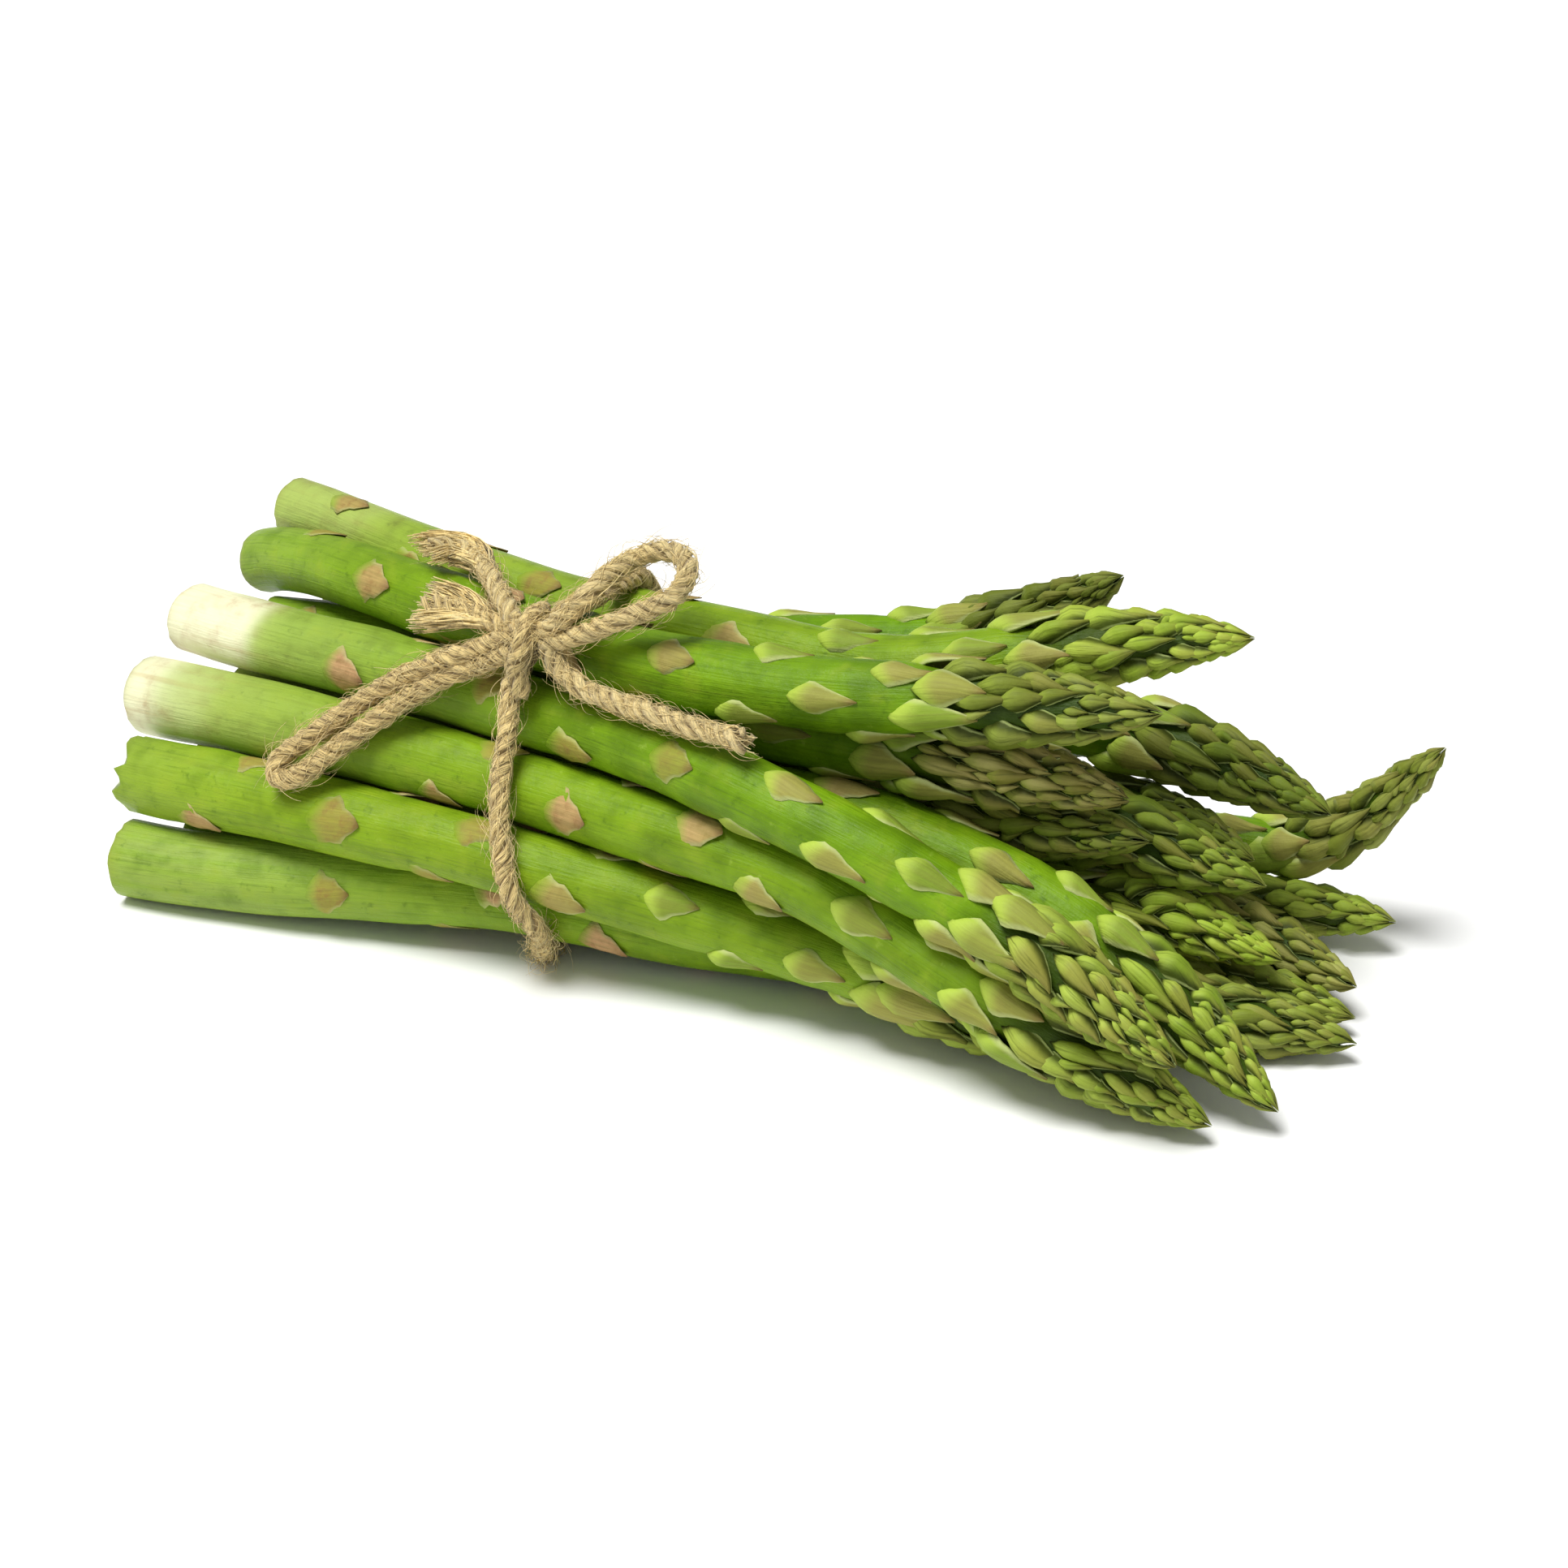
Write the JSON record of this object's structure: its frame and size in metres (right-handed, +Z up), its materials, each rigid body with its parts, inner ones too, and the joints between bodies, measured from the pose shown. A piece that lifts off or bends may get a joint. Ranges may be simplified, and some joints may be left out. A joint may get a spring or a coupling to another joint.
{
  "type": "bundle of asparagus",
  "caption": "Bundle of green asparagus spears with scaly pointed heads, lying on its side and held round the middle by jute twine tied in a bow.",
  "frame": {"origin": "middle of the footprint, on the floor plane", "axes": "+X along the bundle from the cut ends to the tips, +Z up"},
  "size_m": [0.2208, 0.1138, 0.0767],
  "materials": {
    "asparagus_skin": "waxy fresh vegetable skin",
    "jute": "coarse twisted jute fibre"
  },
  "bodies": {
    "root": {"spear_01": "asparagus_skin", "spear_02": "asparagus_skin", "spear_03": "asparagus_skin", "spear_04": "asparagus_skin", "spear_05": "asparagus_skin", "spear_06": "asparagus_skin", "spear_07": "asparagus_skin", "spear_08": "asparagus_skin", "spear_09": "asparagus_skin", "spear_10": "asparagus_skin", "spear_11": "asparagus_skin", "spear_12": "asparagus_skin", "spear_13": "asparagus_skin", "spear_14": "asparagus_skin", "spear_15": "asparagus_skin", "spear_16": "asparagus_skin", "spear_17": "asparagus_skin", "spear_18": "asparagus_skin", "twine": "jute"}
  },
  "joints": []
}
